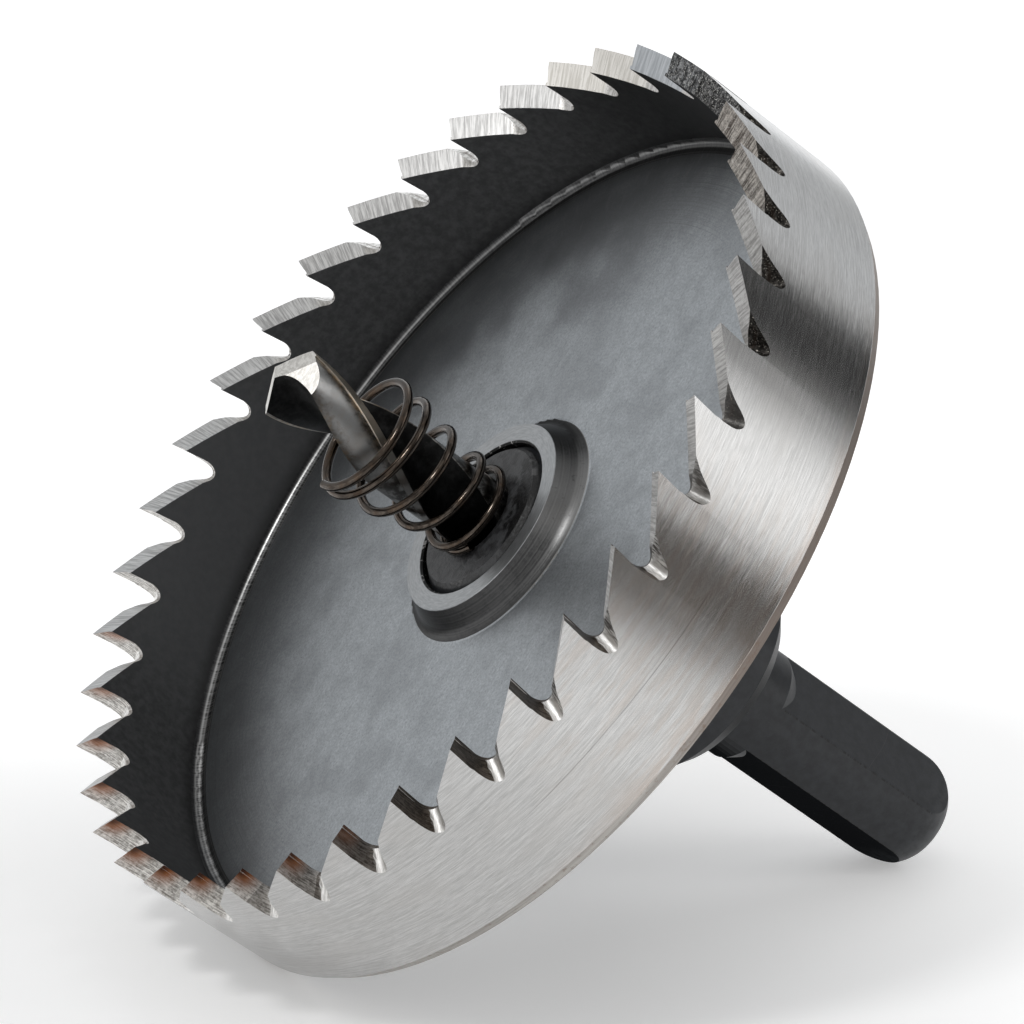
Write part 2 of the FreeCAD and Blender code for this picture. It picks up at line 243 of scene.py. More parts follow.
def tool_group():
    """node group: position in the tool frame in mm, and radius, azimuth and height"""
    g = bpy.data.node_groups.new("tool_frame", "ShaderNodeTree")
    for name, kind in (("P", "NodeSocketVector"), ("R", "NodeSocketFloat"),
                       ("A", "NodeSocketFloat"), ("Z", "NodeSocketFloat"), ("N", "NodeSocketVector")):
        g.interface.new_socket(name=name, in_out="OUTPUT", socket_type=kind)
    k = NT(g)
    tc = k.new("ShaderNodeTexCoord")
    inv = ROT.transposed()
    mp = k.new("ShaderNodeMapping", vector_type="POINT")
    k.put(mp.inputs["Vector"], tc.outputs["Object"])
    mp.inputs["Scale"].default_value = (1000.0,) * 3
    mp.inputs["Rotation"].default_value = inv.to_euler("XYZ")
    mp.inputs["Location"].default_value = -(inv @ OFFSET)
    p = mp.outputs[0]
    x, y, z = k.sep(p)
    r = k.math("SQRT", k.add(k.mul(x, x), k.mul(y, y)))
    a = k.math("ARCTAN2", y, x)
    geo = k.new("ShaderNodeNewGeometry")
    vt = k.new("ShaderNodeVectorTransform", vector_type="NORMAL", convert_from="WORLD", convert_to="OBJECT")
    k.put(vt.inputs[0], geo.outputs["True Normal"])
    mn = k.new("ShaderNodeMapping", vector_type="VECTOR")
    k.put(mn.inputs["Vector"], vt.outputs[0])
    mn.inputs["Rotation"].default_value = inv.to_euler("XYZ")
    out = k.new("NodeGroupOutput")
    k.put(out.inputs["P"], p)
    k.put(out.inputs["R"], r)
    k.put(out.inputs["A"], a)
    k.put(out.inputs["Z"], z)
    k.put(out.inputs["N"], mn.outputs[0])
    return g


TOOL = tool_group()


def material(name):
    mt = bpy.data.materials.new(name)
    mt.use_nodes = True
    k = NT(mt.node_tree)
    bsdf = mt.node_tree.nodes["Principled BSDF"]
    g = k.new("ShaderNodeGroup")
    g.node_tree = TOOL
    return mt, k, bsdf, g.outputs["P"], g.outputs["R"], g.outputs["A"], g.outputs["Z"], g.outputs["N"]


# ------------------------------------------------------------------ cup steel
def around(k, A):
    """helpers for marks that follow the azimuth"""
    cs = k.math("COSINE", A)
    sn = k.math("SINE", A)

    def az_band(lo, hi, soft):
        """1 between two azimuths in degrees"""
        mid, half = math.radians((lo + hi) / 2), math.radians((hi - lo) / 2)
        c = k.add(k.mul(cs, math.cos(mid)), k.mul(sn, math.sin(mid)))
        return k.step(c, math.cos(half + math.radians(soft)), math.cos(max(0.0, half - math.radians(soft))))

    def rings(turn, across, detail=4.0, rough=0.65):
        """streaks that run round the axis"""
        return k.noise(k.comb(k.mul(cs, turn), k.mul(sn, turn), across), 1.0, detail, rough)

    return cs, sn, az_band, rings


def grey(v):
    return (v, v, v)


def outside_material():
    """outer wall and rear chamfer: ground bright, fine scratches round the cup"""
    mt, k, bsdf, P, R, A, Z, N = material("cup_outside")
    cs, sn, az_band, rings = around(k, A)
    m_ch = k.step(R, 49.94, 49.98, 1.0, 0.0)
    fine = rings(9.0, k.mul(Z, 7.5), 3.0, 0.7)
    mid = rings(4.0, k.mul(Z, 3.4), 4.0, 0.7)
    tiny = rings(34.0, k.mul(Z, 13.0), 2.0, 0.6)
    brush = k.add(k.mul(fine, 0.42), k.add(k.mul(mid, 0.20), k.mul(tiny, 0.38)))
    wall = k.mix(k.step(brush, 0.36, 0.64), (0.43, 0.428, 0.422), (0.625, 0.622, 0.616))
    cloud = rings(5.0, k.mul(Z, 0.22), 3.0, 0.55)
    wall = k.mix(k.mul(k.step(cloud, 0.46, 0.66), 0.30), wall, (0.49, 0.478, 0.462))
    deep = k.mul(k.step(rings(2.2, k.mul(Z, 9.0), 2.0, 0.5), 0.70, 0.74), 0.28)
    wall = k.mix(deep, wall, (0.28, 0.275, 0.27))
    scar_z = k.add(k.mul(k.math("SINE", k.mul(A, 9.0)), 0.12), 65.6)
    scar = k.mul(k.band(k.sub(Z, scar_z), -0.05, 0.05, 0.05), az_band(-122.0, -92.0, 5.0))
    wall = k.mix(k.mul(scar, 0.55), wall, (0.16, 0.15, 0.145))
    tint_n = rings(7.0, k.mul(Z, 0.9), 4.0, 0.65)
    near_rim = k.step(Z, 58.2, 60.2, 1.0, 0.0)
    t1 = k.mul(k.mul(near_rim, az_band(-120.0, -60.0, 18.0)), k.step(tint_n, 0.35, 0.6))
    wall = k.mix(k.mul(t1, 0.30), wall, (0.42, 0.30, 0.22))
    t2 = k.mul(az_band(-112.0, -84.0, 10.0), k.step(tint_n, 0.42, 0.62))
    wall = k.mix(k.mul(t2, 0.30), wall, (0.44, 0.36, 0.30))
    chamfer = k.mix(k.step(mid, 0.35, 0.65), (0.36, 0.34, 0.32), (0.52, 0.50, 0.47))
    chamfer = k.mix(k.mul(az_band(-104.0, -30.0, 12.0), 0.75), chamfer, (0.15, 0.108, 0.085))
    chamfer = k.mix(k.mul(k.step(k.noise(P, 1.1, 4.0, 0.7), 0.56, 0.66), 0.5), chamfer, (0.20, 0.13, 0.09))
    k.put(bsdf.inputs["Base Color"], k.mix(m_ch, wall, chamfer))
    bsdf.inputs["Metallic"].default_value = 1.0
    bsdf.inputs["Anisotropic"].default_value = 0.85
    k.put(bsdf.inputs["Tangent"], k.comb(*rowdir((0, 0, 1))))
    rough = k.add(k.mixf(m_ch, 0.245, 0.40), k.mul(k.sub(brush, 0.5), 0.10))
    k.put(bsdf.inputs["Roughness"], rough)
    # each scratch tilts the surface a little round the axis
    round_ = k.new("ShaderNodeMapping", vector_type="VECTOR")
    k.put(round_.inputs["Vector"], k.comb(k.mul(sn, -1.0), cs, 0.0))
    round_.inputs["Rotation"].default_value = ROT.to_euler("XYZ")
    geo = k.new("ShaderNodeNewGeometry")
    tilt = k.mul(k.sub(k.add(k.mul(fine, 0.5), k.mul(tiny, 0.5)), 0.5), 0.085)
    nrm = k.vmath("NORMALIZE", k.vmath("ADD", geo.outputs["Normal"],
                                      k.vmath("SCALE", round_.outputs[0], None, tilt)))
    k.put(bsdf.inputs["Normal"], nrm)
    return mt


def inside_material():
    """inner wall, blackened"""
    mt, k, bsdf, P, R, A, Z, N = material("cup_inside")
    cs, sn, az_band, rings = around(k, A)
    ins = k.noise(P, 1.1, 5.0, 0.65)
    dust = k.noise(P, 9.0, 2.0, 0.6)
    # painted light: the wall is paler between azimuths 22° and 165°
    lit = az_band(22.0, 165.0, 16.0)
    inner = k.mix(k.step(ins, 0.30, 0.72), (0.026, 0.026, 0.0265), (0.042, 0.042, 0.0425))
    pale = k.mix(k.step(ins, 0.30, 0.72), (0.078, 0.078, 0.079), (0.122, 0.122, 0.123))
    inner = k.mix(lit, inner, pale)
    # painted highlight: a brighter patch between azimuths 86° and 122°
    inner = k.mix(k.mul(az_band(86.0, 122.0, 14.0), 0.6), inner, (0.165, 0.165, 0.168))
    inner = k.mix(k.mul(k.step(dust, 0.62, 0.70), 0.25), inner, (0.15, 0.15, 0.148))
    # painted shade: darker low down, in the corner with the floor
    inner = k.mix(k.mul(k.step(Z, 62.5, 64.6, 1.0, 0.0), 0.45), inner, (0.012, 0.012, 0.0125))
    k.put(bsdf.inputs["Base Color"], inner)
    bsdf.inputs["Metallic"].default_value = 1.0
    k.put(bsdf.inputs["Roughness"], k.add(0.58, k.mul(ins, 0.08)))
    k.put(bsdf.inputs["Normal"], k.bump(k.add(k.mul(ins, 0.6), k.mul(dust, 0.3)), 0.30, 0.00002))
    return mt


def floor_material():
    """cup floor, satin and blue-grey, and the seam round it"""
    mt, k, bsdf, P, R, A, Z, N = material("cup_floor")
    cs, sn, az_band, rings = around(k, A)
    m_seam = k.step(R, 46.02, 46.12)
    fl_n = k.noise(P, 3.2, 4.0, 0.72)
    fl_m = k.noise(P, 0.55, 5.0, 0.6)
    fl_c = k.noise(P, 0.085, 2.0, 0.5)
    fl_b = k.noise(P, 0.14, 3.0, 0.5)
    flo = k.mix(k.step(fl_n, 0.28, 0.72), (0.340, 0.363, 0.385), (0.525, 0.553, 0.576))
    flo = k.mix(k.mul(k.step(fl_m, 0.40, 0.66), 0.30), flo, (0.27, 0.285, 0.30))
    flo = k.mix(k.mul(k.step(fl_b, 0.48, 0.68), 0.34), flo, (0.235, 0.248, 0.262))
    # a darker patch 22 to 30 mm from the axis, between azimuths 14° and 62°
    floor_dark_patch = k.mul(az_band(14.0, 62.0, 22.0), k.mul(k.step(R, 22.0, 30.0), k.step(fl_c, 0.34, 0.62)))
    flo = k.mix(k.mul(floor_dark_patch, 0.62), flo, (0.125, 0.130, 0.138))
    # painted reflection of the dark inner wall: darker from 29 to 43 mm out, between azimuths -5° and 172°
    edge = k.mul(k.step(R, 29.0, 43.0), az_band(-5.0, 172.0, 22.0))
    flo = k.mix(k.mul(edge, 0.50), flo, (0.135, 0.139, 0.143))
    # painted shade: darker close to the wall, except between azimuths 92° and 160°
    ring = k.mul(k.step(R, 43.5, 46.6), k.sub(0.58, k.mul(az_band(92.0, 160.0, 18.0), 0.58)))
    flo = k.mix(ring, flo, (0.060, 0.061, 0.063))
    turn = k.noise1(k.add(R, k.mul(fl_m, 0.25)), 5.5, 4.0, 0.75)
    m_turn = k.mul(k.step(R, 33.0, 40.0), k.add(az_band(-5.0, 60.0, 20.0), k.mul(az_band(100.0, 170.0, 20.0), 0.6)))
    flo = k.mix(k.mul(m_turn, k.step(turn, 0.45, 0.72)), flo, (0.20, 0.207, 0.215))
    spokes = k.noise(k.comb(k.mul(cs, 70.0), k.mul(sn, 70.0), k.mul(R, 0.4)), 1.0, 3.0, 0.6)
    flo = k.mix(k.mul(k.mul(k.step(R, 36.0, 42.0), k.step(spokes, 0.54, 0.70)), 0.30), flo, (0.27, 0.275, 0.28))
    spot = k.mul(k.step(k.noise(P, 6.0, 2.0, 0.5), 0.62, 0.70), 0.45)
    flo = k.mix(spot, flo, (0.16, 0.163, 0.167))
    # seam: two fine bright lines with ticks between them, painted highlights, brightest between azimuths 72° and 128°
    ticks = k.step(k.noise(k.comb(k.mul(cs, 250.0), k.mul(sn, 250.0), 0.0), 1.0, 2.0), 0.40, 0.60)
    line = k.add(k.mul(k.band(R, 46.16, 46.34, 0.08), 0.55), k.band(R, 46.84, 47.02, 0.09))
    line = k.add(line, k.mul(k.band(R, 47.20, 47.34, 0.07), 0.6))
    between = k.mul(k.mul(k.band(R, 46.40, 47.20, 0.08), ticks), az_band(80.0, 172.0, 14.0))
    lit = k.add(k.add(k.mul(az_band(72.0, 128.0, 22.0), 1.0), k.mul(az_band(128.0, 172.0, 15.0), 0.35)),
                k.mul(az_band(10.0, 60.0, 25.0), 0.36))
    seam = k.mix(ticks, (0.060, 0.060, 0.061), (0.088, 0.088, 0.089))
    seam_highlight = k.mul(lit, k.add(k.mul(line, k.add(0.66, k.mul(ticks, 0.14))), k.mul(between, 0.30)))
    seam = k.mix(seam_highlight, seam, (0.74, 0.74, 0.73))
    k.put(bsdf.inputs["Base Color"], k.mix(m_seam, flo, seam))
    bsdf.inputs["Metallic"].default_value = 1.0
    k.put(bsdf.inputs["Roughness"], k.add(k.mixf(m_seam, 0.40, 0.34), k.mul(k.sub(fl_n, 0.5), 0.10)))
    k.put(bsdf.inputs["Normal"], k.bump(k.mul(fl_n, 0.24), 0.30, 0.00002))
    return mt


def boss_material():
    """raised boss: turned flank, flat ring, and the bore's edge"""
    mt, k, bsdf, P, R, A, Z, N = material("cup_boss")
    cs, sn, az_band, rings = around(k, A)
    m_land = k.step(Z, 64.55, 64.62)
    m_bore = k.step(R, 9.15, 9.25, 1.0, 0.0)
    spots = k.noise(P, 1.6, 5.0, 0.7)
    groove = k.noise1(k.add(Z, k.mul(spots, 0.16)), 6.0, 3.0, 0.7)
    boss = k.mix(k.step(k.add(k.mul(groove, 0.6), k.mul(spots, 0.4)), 0.38, 0.62), (0.072, 0.072, 0.073), (0.150, 0.150, 0.149))
    # painted shade: darker between azimuths -200° and -112°
    boss = k.mix(k.mul(az_band(-200.0, -112.0, 20.0), 0.55), boss, (0.040, 0.040, 0.041))
    # painted shade: much darker between azimuths -32° and 62°
    boss = k.mix(k.mul(az_band(-32.0, 62.0, 18.0), 0.85), boss, (0.018, 0.0175, 0.017))
    # painted highlight: a bright zone between azimuths -80° and -46°
    boss = k.mix(k.mul(az_band(-80.0, -46.0, 14.0), 0.55), boss, (0.30, 0.30, 0.298))
    boss = k.mix(k.mul(k.step(spots, 0.55, 0.70), 0.4), boss, (0.035, 0.035, 0.035))
    # painted highlight: a bright line at the flank's foot, between azimuths -120° and -20°
    rim = k.mul(k.band(R, 13.20, 13.44, 0.07), az_band(-120.0, -20.0, 18.0))
    boss = k.mix(k.mul(rim, 0.38), boss, (0.70, 0.69, 0.67))
    land = k.mix(k.step(rings(10.0, k.mul(R, 7.0)), 0.36, 0.66), (0.36, 0.372, 0.382), (0.47, 0.482, 0.492))
    bore = k.mix(k.step(spots, 0.56, 0.64), (0.015, 0.015, 0.015), (0.30, 0.295, 0.29))
    col = k.mix(m_bore, k.mix(m_land, boss, land), bore)
    k.put(bsdf.inputs["Base Color"], col)
    bsdf.inputs["Metallic"].default_value = 1.0
    k.put(bsdf.inputs["Roughness"], k.add(0.37, k.mul(k.sub(groove, 0.5), 0.10)))
    bsdf.inputs["Anisotropic"].default_value = 0.5
    flat_up = m_land
    tr = k.new("ShaderNodeMapping", vector_type="VECTOR")
    k.put(tr.inputs["Vector"], k.comb(k.mul(cs, flat_up), k.mul(sn, flat_up), k.sub(1.0, flat_up)))
    tr.inputs["Rotation"].default_value = ROT.to_euler("XYZ")
    k.put(bsdf.inputs["Tangent"], tr.outputs[0])
    k.put(bsdf.inputs["Normal"], k.bump(k.mul(groove, k.sub(1.3, m_land)), 0.30, 0.00002))
    return mt


def back_material():
    """rear face, turned"""
    mt, k, bsdf, P, R, A, Z, N = material("cup_back")
    cs, sn, az_band, rings = around(k, A)
    turn = k.noise1(R, 4.0, 5.0, 0.7)
    stain = k.noise(P, 0.5, 5.0, 0.65)
    back = k.mix(k.step(turn, 0.36, 0.66), (0.33, 0.33, 0.33), (0.50, 0.495, 0.49))
    back = k.mix(k.mul(k.step(stain, 0.50, 0.68), 0.35), back, (0.22, 0.20, 0.18))
    k.put(bsdf.inputs["Base Color"], back)
    bsdf.inputs["Metallic"].default_value = 1.0
    k.put(bsdf.inputs["Roughness"], k.add(0.36, k.mul(k.sub(stain, 0.5), 0.2)))
    bsdf.inputs["Anisotropic"].default_value = 0.7
    tr = k.new("ShaderNodeMapping", vector_type="VECTOR")
    k.put(tr.inputs["Vector"], k.comb(cs, sn, 0.0))
    tr.inputs["Rotation"].default_value = ROT.to_euler("XYZ")
    k.put(bsdf.inputs["Tangent"], tr.outputs[0])
    k.put(bsdf.inputs["Normal"], k.bump(k.mul(turn, 0.8), 0.30, 0.00002))
    return mt


def teeth_material():
    """ground teeth: rake faces, flanks, gullets, and the bevel ground into their outer half"""
    mt, k, bsdf, P, R, A, Z, N = material("cup_teeth")
    nx, ny, nz = k.sep(N)
    cs = k.math("COSINE", A)
    sn = k.math("SINE", A)
    n_out = k.add(k.mul(nx, cs), k.mul(ny, sn))
    n_turn = k.sub(k.mul(ny, cs), k.mul(nx, sn))
    # v runs over a gap from its rake face (0) to the next tip (1), and follows the skew
    pitch = 2 * math.pi / 38
    depth = k.sub(R, 47.5)
    h = k.sub(Z, 76.4)
    hs = k.sub(h, k.mul(depth, 0.32))
    us = k.add(k.math("DIVIDE", k.sub(A, math.radians(86.92)), pitch), 76.0)
    v0 = k.sub(k.add(us, k.mul(depth, 0.0165)), k.add(0.0705, k.mul(hs, 0.0172)))
    v0 = k.math("MODULO", k.add(v0, k.step(n_turn, 0.3, 0.4, -0.02, 0.02)), 38.0)
    v = k.math("FRACT", v0)
    tooth = k.math("DIVIDE", v0, 38.0)
    m_bev = k.step(n_out, 0.0, 0.10)
    m_rake = k.step(n_turn, 0.70, 0.84)
    m_gul = k.step(v, 0.27, 0.31, 1.0, 0.0)

    def each(default, special):
        """a colour or value for each gap, constant over it"""
        stops, last = [(0.0, default)], default
        for i in range(38):
            c = special.get(i, default)
            if c != last:
                stops.append((i / 38.0, c))
                last = c
        if len(stops) > 1 and stops[1][0] == 0.0:
            stops = stops[1:]
        return k.ramp(tooth, stops, "CONSTANT")

    lines = k.noise(k.comb(k.mul(v0, 44.0), k.mul(R, 0.22), 0.0), 1.0, 3.0, 0.75)
    pit = k.noise(P, 2.4, 4.0, 0.75)
    pit2 = k.noise(P, 5.5, 3.0, 0.7)
    # flanks: worn bright, with lines that run across the wall; the tone of each gap is painted light and shade, darker
    # from gap 21 to 27, brighter at 29 and 30
    f_hi = each((0.68, 0.675, 0.665), {
        21: (0.50, 0.495, 0.485), 22: (0.46, 0.455, 0.45), 23: (0.42, 0.415, 0.405),
        24: (0.40, 0.375, 0.345), 25: (0.44, 0.41, 0.375), 26: (0.20, 0.20, 0.20), 27: (0.26, 0.265, 0.27),
        28: (0.52, 0.54, 0.565), 29: (0.76, 0.74, 0.705), 30: (0.76, 0.74, 0.705)})
    f_lo = each((0.37, 0.365, 0.36), {
        21: (0.25, 0.245, 0.24), 22: (0.22, 0.215, 0.21), 23: (0.19, 0.185, 0.18),
        24: (0.085, 0.073, 0.064), 25: (0.095, 0.080, 0.070), 26: (0.030, 0.030, 0.031), 27: (0.050, 0.052, 0.055),
        28: (0.36, 0.38, 0.40), 29: (0.55, 0.53, 0.49), 30: (0.55, 0.53, 0.49)})
    flank = k.mix(k.step(lines, 0.36, 0.62), f_lo, f_hi)
    # gaps 22 to 27: flanks darker and pitted, with dark and bright specks
    pitted_gaps = each(grey(0.0), {24: grey(0.45), 25: grey(0.45), 26: grey(1.0), 27: grey(0.9), 23: grey(0.2), 22: grey(0.15)})
    flank = k.mix(k.mul(k.mul(k.step(pit, 0.44, 0.56), pitted_gaps), 0.85), flank, (0.016, 0.0155, 0.015))
    flank = k.mix(k.mul(k.mul(k.step(pit2, 0.58, 0.64), pitted_gaps), 0.8), flank, (0.70, 0.69, 0.66))

    nick = k.mul(k.step(pit2, 0.62, 0.66), k.step(k.math("ABSOLUTE", k.sub(depth, 1.25)), 0.75, 1.2, 0.25, 1.0))
    flank = k.mix(k.mul(nick, 0.6), flank, (0.06, 0.055, 0.05))

    # rake faces: rough and dark, straw to brown and blue near the lower left tips; darker on gaps 12 to 21, painted
    # shade
    rk_lines = k.noise(k.comb(k.mul(R, 7.0), k.mul(h, 0.5), k.mul(us, 3.0)), 1.0, 3.0, 0.7)
    dark = {12: 0.45, 13: 0.85, 14: 1.0, 15: 1.0, 16: 1.0, 17: 1.0, 18: 1.0, 19: 1.0, 20: 1.0, 21: 1.0}
    rk = k.step(k.add(k.mul(rk_lines, 0.6), k.mul(pit, 0.4)), 0.38, 0.62)
    rake = k.mix(each(grey(0.0), {i: grey(c) for i, c in dark.items()}),
                 k.mix(rk, (0.25, 0.235, 0.215), (0.92, 0.90, 0.87)),
                 k.mix(rk, (0.045, 0.036, 0.030), (0.15, 0.128, 0.108)))
    warm = each(grey(0.0), {
        3: grey(0.6), 4: grey(0.7), 5: grey(0.85), 6: grey(0.85), 7: grey(0.9), 8: grey(0.9), 9: grey(1.0),
        10: grey(1.0), 11: grey(1.0), 12: grey(0.9), 13: grey(0.5)})
    inner_tip = k.mul(k.step(hs, -3.9, -1.5), k.step(depth, 0.5, 2.3, 1.0, 0.12))
    heat = k.mul(k.mul(inner_tip, warm), k.step(pit, 0.20, 0.42))
    rake = k.mix(heat, rake, (0.33, 0.125, 0.050))
    rake = k.mix(k.mul(k.mul(k.mul(heat, k.step(hs, -2.0, -0.9)), k.step(depth, 0.3, 1.2, 1.0, 0.0)), 0.85), rake, (0.045, 0.026, 0.024))

    # gullets: bright on the left; darker from gap 21 to 27 and dark inside on the near side (gaps 12 to 20), both
    # painted shade
    g_lines = k.noise(k.comb(k.mul(v0, 48.0), k.mul(R, 0.6), 0.0), 1.0, 3.0, 0.72)
    gl = k.step(g_lines, 0.36, 0.62)
    gullet = k.mix(each(grey(0.0), {21: grey(0.5), 22: grey(0.65), 23: grey(0.7), 24: grey(0.8), 25: grey(0.8),
                                    26: grey(1.0), 27: grey(0.9)}),
                   k.mix(gl, (0.42, 0.41, 0.395), (0.66, 0.65, 0.635)), k.mix(gl, (0.05, 0.046, 0.042), (0.20, 0.19, 0.175)))
    near_g = each(grey(0.0), {12: grey(0.4), 13: grey(0.8), 14: grey(0.95), 15: grey(0.95), 16: grey(0.95),
                              17: grey(0.95), 18: grey(0.95), 19: grey(0.95), 20: grey(0.8)})
    gullet = k.mix(near_g, gullet, k.mix(k.step(pit, 0.45, 0.66), (0.035, 0.030, 0.026), (0.16, 0.14, 0.12)))
    # a ragged dark line along the crease, and brown specks
    crease = k.lin(v, 0.10, 0.29, 0.25, 2.05)
    off = k.add(k.sub(depth, crease), k.mul(k.sub(pit2, 0.5), 0.7))
    edge = k.mul(k.band(off, -0.22, 0.08, 0.05), k.step(v, 0.30, 0.34, 1.0, 0.0))
    old = each(grey(0.30), {28: grey(0.8), 29: grey(1.0), 30: grey(1.0), 31: grey(1.0), 32: grey(1.0), 33: grey(0.9),
                            34: grey(0.9), 35: grey(0.9), 36: grey(0.8), 37: grey(0.8), 0: grey(0.7), 1: grey(0.6)})
    brown = k.mul(old, k.math("MAXIMUM", edge, k.mul(k.step(pit2, 0.60, 0.66), 0.7)))
    gullet = k.mix(k.mul(brown, 0.90), gullet, (0.060, 0.038, 0.028))

    # bevels: bright, a half-moon on the near side with part of it darker, and black and pitted on the far right; the
    # dark parts are painted shade
    bev = k.mix(gl, (0.60, 0.59, 0.57), (0.95, 0.94, 0.92))
    bev = k.mix(k.mul(near_g, k.mul(k.step(v, 0.13, 0.24), k.step(g_lines, 0.44, 0.56))), bev, (0.075, 0.065, 0.057))
    far_g = each(grey(0.0), {20: grey(0.3), 21: grey(0.85), 22: grey(1.0), 23: grey(1.0), 24: grey(1.0), 25: grey(1.0),
                             26: grey(1.0), 27: grey(0.9)})
    bev = k.mix(far_g, bev, k.mix(k.step(pit, 0.42, 0.66), (0.016, 0.015, 0.014), (0.080, 0.074, 0.068)))
    bev = k.mix(k.mul(far_g, k.step(pit2, 0.60, 0.66)), bev, (0.55, 0.52, 0.47))
    bev = k.mix(k.mul(brown, 0.55), bev, (0.085, 0.050, 0.034))

    cut = k.mix(m_gul, flank, gullet)
    cut = k.mix(m_bev, cut, bev)
    cut = k.mix(m_rake, cut, rake)
    k.put(bsdf.inputs["Base Color"], cut)
    bsdf.inputs["Metallic"].default_value = 1.0
    rough = k.mixf(m_rake, k.mixf(m_bev, k.mixf(m_gul, 0.42, 0.36), 0.48), 0.50)
    k.put(bsdf.inputs["Roughness"], k.add(rough, k.mul(k.sub(pit, 0.5), 0.12)))
    hgt = k.mixf(m_rake, k.mul(lines, 1.1), k.add(rk_lines, k.mul(pit, 2.0)))
    hgt = k.add(hgt, k.mul(k.math("MAXIMUM", pitted_gaps, k.mul(m_bev, far_g)), k.mul(pit, 4.5)))
    k.put(bsdf.inputs["Normal"], k.bump(hgt, 0.30, 0.00002))
    return mt


# ------------------------------------------------------------------ black oxide
def oxide_material():
    mt, k, bsdf, P, R, A, Z, N = material("black_oxide")
    nx, ny, nz = k.sep(N)
    cs = k.math("COSINE", A)
    sn = k.math("SINE", A)
    n1 = k.noise(P, 0.9, 5.0, 0.6)
    n2 = k.noise(P, 4.0, 4.0, 0.7)
    col = k.mix(k.step(n1, 0.30, 0.72), (0.0150, 0.0164, 0.0188), (0.0250, 0.0272, 0.0308))
    # painted shade: the shank is darker and without reflection on its under side (facing azimuth -170.5°), below the
    # collar
    turned = math.radians(-170.5)
    shaded_underside = k.mul(k.step(k.add(k.mul(nx, math.cos(turned)), k.mul(ny, math.sin(turned))), 0.80, 0.995),
                  k.step(Z, 29.5, 33.0, 1.0, 0.0))
    col = k.mix(shaded_underside, col, (0.0090, 0.0098, 0.0108))
    col = k.mix(k.mul(k.step(n2, 0.58, 0.72), 0.5), col, (0.034, 0.036, 0.039))
    # fine scratches
    sc = k.noise(k.comb(k.mul(nx, 2.0), k.mul(ny, 2.0), k.mul(k.add(k.mul(cs, 3.0), Z), 7.0)), 1.0, 3.0, 0.7)
    col = k.mix(k.mul(k.step(sc, 0.66, 0.72), 0.35), col, (0.07, 0.072, 0.075))
    # wear on the rounded end; broken near-black lines along the flats' edges, and a darker band on the collar's chamfer
    end = k.mul(k.step(Z, 0.6, 5.2, 1.0, 0.0), k.step(n1, 0.32, 0.62))
    col = k.mix(k.mul(end, 0.45), col, (0.050, 0.053, 0.057))
    edge_c = None
    for az in (-50.5, 69.5, 189.5):
        a = math.radians(az)
        across = k.add(k.mul(k.math("COSINE", k.sub(A, a)), R), 0.0)
        side = k.math("ABSOLUTE", k.mul(k.math("SINE", k.sub(A, a)), R))
        # the flat is 5.45 mm from the axis, so it ends 3.54 mm either side
        e = k.mul(k.mul(k.band(side, 3.42, 3.66, 0.05), k.step(across, 5.30, 5.40)), k.step(Z, 25.2, 26.0, 1.0, 0.0))
        edge_c = e if edge_c is None else k.math("MAXIMUM", edge_c, e)
    broken = k.step(k.noise1(Z, 1.3, 4.0, 0.7), 0.42, 0.60)
    col = k.mix(k.mul(k.mul(edge_c, broken), 0.95), col, (0.002, 0.002, 0.0022))
    ch = k.mul(k.band(Z, 31.4, 33.2, 0.12), k.step(R, 10.3, 10.45))
    col = k.mix(k.mul(ch, 0.80), col, (0.008, 0.0085, 0.009))
    # nose face: crusty black
    nose = k.step(Z, 64.0, 64.4)
    crust = k.noise(P, 0.9, 5.0, 0.62)
    P_lit = k.mul(R, k.math("COSINE", k.sub(A, math.radians(-62.0))))
    shade = k.step(k.add(k.mul(P_lit, 0.9), k.mul(k.sub(crust, 0.5), 6.0)), 4.4, 5.6)
    col = k.mix(nose, col, k.mix(k.step(crust, 0.44, 0.58), (0.044, 0.045, 0.047), (0.020, 0.020, 0.021)))
    col = k.mix(k.mul(nose, shade), col, (0.0030, 0.0030, 0.0032))
    col = k.mix(k.mul(nose, k.step(n2, 0.60, 0.70)), col, (0.055, 0.057, 0.060))
    rim = k.mul(nose, k.band(R, 7.75, 8.25, 0.15))
    col = k.mix(k.mul(k.mul(rim, 0.7), k.step(crust, 0.54, 0.62)), col, (0.10, 0.10, 0.10))
    k.put(bsdf.inputs["Base Color"], col)
    k.put(bsdf.inputs["Roughness"], k.add(k.mixf(nose, 0.46, 0.40), k.mul(k.sub(n2, 0.5), 0.24)))
    bsdf.inputs["Metallic"].default_value = 0.0
    k.put(bsdf.inputs["Specular IOR Level"], k.mixf(shaded_underside, 0.42, 0.0))
    hgt = k.add(k.mul(n2, 0.8), k.mul(sc, 0.3))
    hgt = k.add(hgt, k.mul(nose, k.mul(crust, 26.0)))
    k.put(bsdf.inputs["Normal"], k.bump(hgt, 0.35, 0.00002))
    return mt


